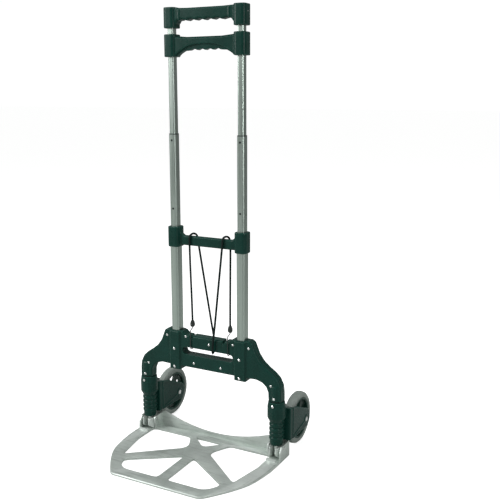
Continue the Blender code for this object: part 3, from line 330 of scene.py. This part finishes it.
def drawn_metal(name, dark, light, stretch, roughness):
    """Metal with fine lines, drawn out along the axis that stretch leaves smallest."""
    paint = Paint(name, 0.35, metallic=1.0)
    lines = paint.noise(1.0, stretch, detail=2.0)
    cloud = paint.noise(9.0)
    tone = paint.mix(paint.spread(lines, 0.3, 0.7, 0.0, 1.0), dark, light)
    paint.colour(paint.mix(paint.spread(cloud, 0.35, 0.75, 0.0, 0.25), tone, light))
    paint.rough(paint.spread(lines, 0.3, 0.7, *roughness))
    paint.bump(lines, 0.12, 0.0002)
    return paint.material


def cast_metal(name, dark, light, wear_and_highlight, dark_streak):
    """Brushed casting with darker streaks along X, and brighter edges that are partly wear and partly a
    painted highlight.
    """
    paint = Paint(name, 0.45, metallic=0.55)
    cloud = paint.noise(22.0, detail=5.0)
    fine = paint.noise(650.0, detail=3.0)
    brush = paint.noise(1.0, (30, 900, 900), detail=2.0)
    tone = paint.mix(paint.spread(cloud, 0.3, 0.7, 0.0, 1.0), dark, light)
    tone = paint.mix(paint.spread(fine, 0.4, 0.7, 0.0, 0.3), tone, wear_and_highlight)
    streaks = paint.noise(1.0, (14, 260, 260), detail=3.0)
    tone = paint.mix(paint.spread(streaks, 0.52, 0.72, 0.0, 0.55), tone, dark_streak)
    # edges lightened as wear and as a painted highlight
    paint.colour(paint.edges(tone, wear_and_highlight))
    paint.rough(paint.spread(cloud, 0.3, 0.7, 0.34, 0.5))
    paint.bump(brush, 0.08, 0.0002)
    paint.bump(fine, 0.16, 0.0004)
    return paint.material


def rubber(name, dark, light):
    """Matt rubber with a fine speckle."""
    paint = Paint(name, 0.7, specular=0.3)
    cloud = paint.noise(45.0)
    fine = paint.noise(1500.0, detail=2.0)
    tone = paint.mix(paint.spread(cloud, 0.3, 0.7, 0.0, 1.0), dark, light)
    paint.colour(paint.mix(paint.spread(fine, 0.4, 0.65, 0.0, 0.3), tone, dark))
    paint.rough(paint.spread(cloud, 0.3, 0.7, 0.6, 0.8))
    paint.bump(fine, 0.3, 0.0003)
    return paint.material


def braid(name, dark, light):
    """The cord's woven sheath."""
    paint = Paint(name, 0.75, specular=0.25)
    weave = paint.cells((1300, 1300, 700))
    paint.colour(paint.mix(paint.spread(weave, 0.1, 0.6, 0.0, 1.0), light, dark))
    paint.rough(paint.spread(weave, 0.1, 0.6, 0.65, 0.9))
    paint.bump(weave, 0.6, 0.0004)
    return paint.material


# the last colour of each plastic is both a wear speck colour and a painted edge highlight
MATERIALS = {
    "green_plastic": plastic("green_plastic", (0.001, 0.024, 0.017), (0.003, 0.036, 0.027),
                             (0.030, 0.095, 0.075)),
    "black_plastic": plastic("black_plastic", (0.010, 0.014, 0.013), (0.017, 0.022, 0.020),
                             (0.05, 0.06, 0.055)),
    "hub_plastic": plastic("hub_plastic", (0.003, 0.020, 0.014), (0.007, 0.032, 0.023),
                           (0.03, 0.08, 0.06)),
    "tube_aluminium": drawn_metal("tube_aluminium", (0.28, 0.34, 0.30), (0.43, 0.50, 0.46),
                                  (900, 900, 5), (0.26, 0.38)),
    "plate_aluminium": cast_metal("plate_aluminium", (0.40, 0.46, 0.42), (0.54, 0.60, 0.56),
                                  (0.74, 0.79, 0.76), (0.17, 0.20, 0.185)),
    "zinc_steel": drawn_metal("zinc_steel", (0.66, 0.69, 0.67), (0.80, 0.82, 0.81),
                              (300, 300, 300), (0.18, 0.32)),
    "spring_steel": drawn_metal("spring_steel", (0.50, 0.51, 0.51), (0.62, 0.63, 0.63),
                                (500, 500, 500), (0.25, 0.4)),
    "tyre_rubber": rubber("tyre_rubber", (0.20, 0.235, 0.215), (0.29, 0.325, 0.30)),
    "cord_sheath": braid("cord_sheath", (0.002, 0.008, 0.007), (0.010, 0.024, 0.020)),
}


def give_material(item, slot):
    item.data.materials.clear()
    item.data.materials.append(MATERIALS[slot])


# ---- new pieces ----

def place_piece(item, body, slot, *stands_for):
    """Gives a new piece its material and its body, and hides the nodes it stands for."""
    give_material(item, slot)
    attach(item, body)
    if stands_for:
        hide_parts(*stands_for)
    return item


def mesh_object(name, shape, smooth_angle=None):
    """An object made from a bmesh, which it uses up."""
    bmesh.ops.remove_doubles(shape, verts=shape.verts, dist=WELD)
    bmesh.ops.recalc_face_normals(shape, faces=shape.faces)
    mesh = bpy.data.meshes.new(name)
    shape.to_mesh(mesh)
    shape.free()
    mesh.shade_smooth()
    if smooth_angle is not None:
        mesh.set_sharp_from_angle(angle=math.radians(smooth_angle))
    item = bpy.data.objects.new(name, mesh)
    bpy.context.scene.collection.objects.link(item)
    return item


def copy_shape(node):
    """The node's surface as a bmesh, its flat areas merged into whole faces."""
    shape = bmesh.new()
    shape.from_mesh(NODES[node].data)
    bmesh.ops.remove_doubles(shape, verts=shape.verts, dist=COPY_WELD)
    bmesh.ops.dissolve_limit(shape, angle_limit=math.radians(FLAT_ANGLE), verts=shape.verts,
                             edges=shape.edges)
    return shape


def apply_all(item):
    """Replaces the mesh by its evaluated form, so that no modifier is left."""
    graph = bpy.context.evaluated_depsgraph_get()
    bpy.context.view_layer.update()
    mesh = bpy.data.meshes.new_from_object(item.evaluated_get(graph))
    item.modifiers.clear()
    item.data = mesh
    return item


def stand_in(item, node):
    """Puts a piece in the place of a node, with the node's body and slot."""
    return place_piece(item, BODY_OF[node], SLOT_OF[node], node)


def bevelled(node):
    """The node with its sharp edges rounded off."""
    item = mesh_object(f"{node}_finished", copy_shape(node))
    modifier = item.modifiers.new("edges", "BEVEL")
    modifier.width = BEVEL_WIDTH
    modifier.segments = BEVEL_SEGMENTS
    modifier.limit_method = "ANGLE"
    modifier.angle_limit = math.radians(BEVEL_ANGLE)
    modifier.harden_normals = False
    apply_all(item)
    item.data.shade_smooth()
    item.data.set_sharp_from_angle(angle=math.radians(FINISHED_SHARP))
    return stand_in(item, node)


def soften(item, voxel, rounds):
    """Evens out a piece's surface and rounds its edges and inner corners as a moulding's are."""
    remesh = item.modifiers.new("even", "REMESH")
    remesh.mode = "VOXEL"
    remesh.voxel_size = voxel
    remesh.use_smooth_shade = True
    soft = item.modifiers.new("soft", "SMOOTH")
    soft.iterations = rounds
    soft.factor = SMOOTH_FACTOR
    apply_all(item)
    item.data.shade_smooth()
    return item


def moulded(node, shape, voxel, rounds):
    """A softened piece made from a node's shape and whatever was added to it."""
    return soften(mesh_object(f"{node}_moulding", shape), voxel, rounds)


# ---- shapes added to a moulding before it is evened out ----

def add_block(shape, low, high):
    """A closed box between two corners."""
    size = Vector(high) - Vector(low)
    middle = (Vector(high) + Vector(low)) / 2
    matrix = Matrix.Translation(middle) @ Matrix.Diagonal((*size, 1.0))
    bmesh.ops.create_cube(shape, size=1.0, matrix=matrix)


def add_ring(shape, centre, profile, steps=32):
    """A closed ring about a vertical line at centre, from (radius, height) points."""
    rows = []
    for step in range(steps):
        turn = 2 * math.pi * step / steps
        across, along = math.cos(turn), math.sin(turn)
        rows.append([shape.verts.new((centre[0] + radius * across, centre[1] + radius * along, height))
                     for radius, height in profile])
    for row, following in zip(rows, rows[1:] + rows[:1]):
        for index in range(len(profile)):
            after = (index + 1) % len(profile)
            shape.faces.new((row[index], following[index], following[after], row[after]))


def add_bar(shape, x_low, x_high, start, end, width):
    """A raised strip in a plane of constant X, from one (y, z) point to another."""
    run = Vector(end) - Vector(start)
    turn = math.atan2(run.y, run.x)
    middle = (Vector(start) + Vector(end)) / 2
    matrix = (Matrix.Translation(((x_low + x_high) / 2, middle.x, middle.y)) @ Matrix.Rotation(turn, 4, "X")
              @ Matrix.Diagonal((x_high - x_low, run.length + width, width, 1.0)))
    bmesh.ops.create_cube(shape, size=1.0, matrix=matrix)


def add_disc(shape, x_low, x_high, y, z, radius, steps=32):
    """A closed disc with its axis along X."""
    matrix = Matrix.Translation(((x_low + x_high) / 2, y, z)) @ Matrix.Rotation(math.pi / 2, 4, "Y")
    bmesh.ops.create_cone(shape, cap_ends=True, segments=steps, radius1=radius, radius2=radius,
                          depth=x_high - x_low, matrix=matrix)


def add_dome(shape, place, normal, radius, height, steps=20):
    """A domed rivet head standing on place along normal, its foot sunk below the surface."""
    up = Vector(normal).normalized()
    matrix = Matrix.Translation(Vector(place)) @ up.to_track_quat("Z", "Y").to_matrix().to_4x4()
    profile = [(radius, -RIVET_SINK), (radius, height * 0.35), (radius * 0.86, height * 0.72),
               (radius * 0.5, height * 0.95)]
    rings = [[shape.verts.new(matrix @ Vector((r * math.cos(2 * math.pi * k / steps),
                                               r * math.sin(2 * math.pi * k / steps), z)))
              for k in range(steps)] for r, z in profile]
    top = shape.verts.new(matrix @ Vector((0, 0, height)))
    shape.faces.new(list(reversed(rings[0])))
    for lower, upper in zip(rings, rings[1:]):
        for k in range(steps):
            after = (k + 1) % steps
            shape.faces.new((lower[k], lower[after], upper[after], upper[k]))
    for k in range(steps):
        shape.faces.new((rings[-1][k], rings[-1][(k + 1) % steps], top))


# ---- moulded pieces ----

def cut_away(item, cutter):
    """Takes a closed shape away from a piece."""
    knife = mesh_object("knife", cutter)
    cut = item.modifiers.new("cut", "BOOLEAN")
    cut.operation = "DIFFERENCE"
    cut.solver = "EXACT"
    cut.object = knife
    apply_all(item)
    bpy.data.objects.remove(knife)


def make_crossbar():
    """The crossbar, its two detent pockets drilled clear again once it is softened."""
    node = "crossbar"
    item = moulded(node, copy_shape(node), VOXEL, CROSSBAR_ROUNDS)
    drill = bmesh.new()
    for side, _ in SIDES:
        low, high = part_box(f"detent_pin_{side}")
        start = low.y - POCKET_RUN
        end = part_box(f"detent_spring_{side}")[1].y + POCKET_GAP
        radius = (high.x - low.x) / 2 + POCKET_GAP
        matrix = (Matrix.Translation(((low.x + high.x) / 2, (start + end) / 2, (low.z + high.z) / 2))
                  @ Matrix.Rotation(math.pi / 2, 4, "X"))
        bmesh.ops.create_cone(drill, cap_ends=True, segments=CIRCLE_STEPS, radius1=radius, radius2=radius,
                              depth=end - start, matrix=matrix)
    cut_away(item, drill)
    item.data.shade_smooth()
    item.data.set_sharp_from_angle(angle=math.radians(DRILLED_SHARP))
    return stand_in(item, node)


def make_post(side):
    """The post, its hidden top end kept below the bend of the bracket's arm."""
    node = f"post_{side}"
    shape = copy_shape(node)
    for vertex in shape.verts:
        vertex.co.z = min(vertex.co.z, POST_TOP)
    return stand_in(mesh_object(f"{node}_finished", shape, FINISHED_SHARP), node)


def make_bracket(node, facing):
    """One half of the base bracket, its two bent arms rounded like a pipe and closed over the posts."""
    shape = copy_shape(node)
    for _, sign in SIDES:
        plug = bmesh.ops.create_cone(shape, cap_ends=True, segments=CIRCLE_STEPS, radius1=PLUG_RADIUS,
                                     radius2=PLUG_RADIUS, depth=PLUG_TOP - PLUG_LOW,
                                     matrix=Matrix.Translation((sign * POST_X, 0, (PLUG_LOW + PLUG_TOP) / 2)))
        for vertex in plug["verts"]:
            vertex.co.y = facing * max(facing * vertex.co.y, SEAM_HALF)
    item = moulded(node, shape, VOXEL, BRACKET_ROUNDS)
    group = item.vertex_groups.new(name="arms")
    for vertex in item.data.vertices:
        across = (abs(vertex.co.x) - ARM_START) / ARM_BLEND
        above = (vertex.co.z - ARM_FOOT) / ARM_BLEND
        weight = max(0.0, min(1.0, across, above))
        if weight:
            group.add([vertex.index], weight, "REPLACE")
    soft = item.modifiers.new("round", "SMOOTH")
    soft.iterations = ARM_ROUNDS
    soft.factor = SMOOTH_FACTOR
    soft.vertex_group = "arms"
    apply_all(item)
    item.vertex_groups.clear()
    item.data.shade_smooth()
    return stand_in(item, node)


def make_fork(side, sign):
    """The fork with its ringed knuckle and the ribbed outer faces of its two arms."""
    node = f"wheel_fork_{side}"
    shape = copy_shape(node)
    for step in range(KNUCKLE_RINGS):
        middle = KNUCKLE_LOW + (KNUCKLE_HIGH - KNUCKLE_LOW) * step / (KNUCKLE_RINGS - 1)
        add_ring(shape, (sign * POST_X, 0),
                 [(RING_BORE, middle - RING_HALF), (RING_REACH - RING_CHAMFER, middle - RING_HALF),
                  (RING_REACH, middle - RING_FLAT), (RING_REACH, middle + RING_FLAT),
                  (RING_REACH - RING_CHAMFER, middle + RING_HALF), (RING_BORE, middle + RING_HALF)])
    for face in (-1, 1):
        inner = sign * WHEEL_X + face * (ARM_HALF - RIB_SINK)
        outer = sign * WHEEL_X + face * (ARM_HALF + RIB_RISE)
        low, high = min(inner, outer), max(inner, outer)
        for start, end in ARM_RIBS:
            add_bar(shape, low, high, start, end, RIB_THICK)
        add_disc(shape, low, high, AXLE_Y, AXLE_Z, BOSS_RADIUS)
    item = moulded(node, shape, FINE_VOXEL, FORK_ROUNDS)
    return stand_in(item, node)


def arch_outline(low, high):
    """The finger band's outline: an arch between the sleeves, closed below the grip."""
    inner = TUBE_X - (high.x - TUBE_X)
    height = high.z - low.z
    outline = []
    for step in range(ARCH_STEPS + 1):
        share = step / ARCH_STEPS
        x = (2 * share - 1) * inner
        z = low.z + height * (ARCH_FOOT + (ARCH_CROWN - ARCH_FOOT) * (1 - abs(2 * share - 1) ** ARCH_POWER))
        outline.append((x, z))
    return outline + [(inner, low.z - BAND_BELOW), (-inner, low.z - BAND_BELOW)]


def make_grip():
    """The release grip, its finger band set back below an arched step on both faces."""
    node = "release_grip"
    low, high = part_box(node)
    outline = arch_outline(low, high)
    cutter = bmesh.new()
    for face in (-1, 1):
        front = face * (high.y - low.y)
        back = face * (BAR_HALF - BAND_DEPTH)
        near = [cutter.verts.new((x, front, z)) for x, z in outline]
        far = [cutter.verts.new((x, back, z)) for x, z in outline]
        cutter.faces.new(near)
        cutter.faces.new(list(reversed(far)))
        for index in range(len(outline)):
            after = (index + 1) % len(outline)
            cutter.faces.new((near[after], near[index], far[index], far[after]))
    item = mesh_object(f"{node}_moulding", copy_shape(node))
    cut_away(item, cutter)
    soften(item, FINE_VOXEL, HANDLE_ROUNDS)
    return stand_in(item, node)


def make_top_handle():
    """The top handle, with a low upright ridge beside each sleeve."""
    node = "top_handle"
    low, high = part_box(node)
    inner = TUBE_X - (high.x - TUBE_X)
    shape = copy_shape(node)
    for _, sign in SIDES:
        x = sign * (inner - RIDGE_GAP)
        add_block(shape, (x - RIDGE_HALF, -BAR_HALF - RIDGE_RISE, low.z + RIDGE_FOOT),
                  (x + RIDGE_HALF, BAR_HALF + RIDGE_RISE, high.z - RIDGE_HEAD))
    item = moulded(node, shape, FINE_VOXEL, HANDLE_ROUNDS)
    return stand_in(item, node)


# ---- rivets and studs ----

def on_surface(item, x, z, facing):
    """The outermost point of a piece at (x, z), on its front when facing is -1 or its back when it is 1."""
    into = item.matrix_world.inverted()
    start = Vector((x, facing * PROBE_REACH, z))
    place = item.ray_cast(into @ start, into.to_3x3() @ Vector((0, -facing, 0)))[1]
    return item.matrix_world @ place


def heads(name, item, places, facing, radius, height, body, slot):
    """Rivet heads on a piece's front or back, at (x, z) places."""
    shape = bmesh.new()
    for x, z in places:
        add_dome(shape, on_surface(item, x, z, facing), (0, facing, 0), radius, height)
    return place_piece(mesh_object(name, shape, HEAD_SHARP), body, slot)


def make_rivets(front, rear):
    """The bracket's rivets, which show behind too except at its bent arms, and the collars' studs."""
    rivets = [(sign * x, z) for sign in (1, -1) for x, z in PAIRED_RIVETS]
    rivets += SINGLE_RIVETS
    through = [(x, z) for x, z in rivets if abs(x) < ARM_START]
    heads("bracket_rivets_front", front, rivets, -1, RIVET_RADIUS, RIVET_HEIGHT, "frame", "zinc_steel")
    heads("bracket_rivets_rear", rear, through, 1, RIVET_RADIUS, RIVET_HEIGHT, "frame", "zinc_steel")
    studs = [(sign * POST_X, STUD_Z) for _, sign in SIDES]
    heads("collar_studs_front", front, studs, -1, STUD_RADIUS, STUD_HEIGHT, "frame", "zinc_steel")
    heads("collar_studs_rear", rear, studs, 1, STUD_RADIUS, STUD_HEIGHT, "frame", "zinc_steel")


def make_bush_keys():
    """The dark keys of the bushes, flush with the front of each middle tube."""
    low_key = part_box("crossbar")[1].z + KEY_OVER_CROSSBAR
    for side, sign in SIDES:
        tube = f"middle_tube_{side}"
        high_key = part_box(tube)[1].z - KEY_BELOW_TOP
        heads(f"bush_keys_{side}", NODES[tube], [(sign * TUBE_X, high_key), (sign * TUBE_X, low_key)],
              -1, KEY_RADIUS, KEY_HEIGHT, "middle_stage", "black_plastic")


def make_moulded_nodes():
    make_crossbar()
    front = make_bracket("base_bracket_front", -1)
    rear = make_bracket("base_bracket_rear", 1)
    make_top_handle()
    make_grip()
    for side, sign in SIDES:
        make_fork(side, sign)
        make_post(side)
    make_rivets(front, rear)
    make_bush_keys()


# ---- everything else keeps its CAD shape ----

def finish_nodes():
    for node, item in NODES.items():
        if not item.hide_render:
            give_material(item, SLOT_OF[node])


set_camera()
set_world()
set_lamps()
set_floor()
make_moulded_nodes()
for finished in ("toe_plate", "post_foot_left", "post_foot_right"):
    bevelled(finished)
finish_nodes()
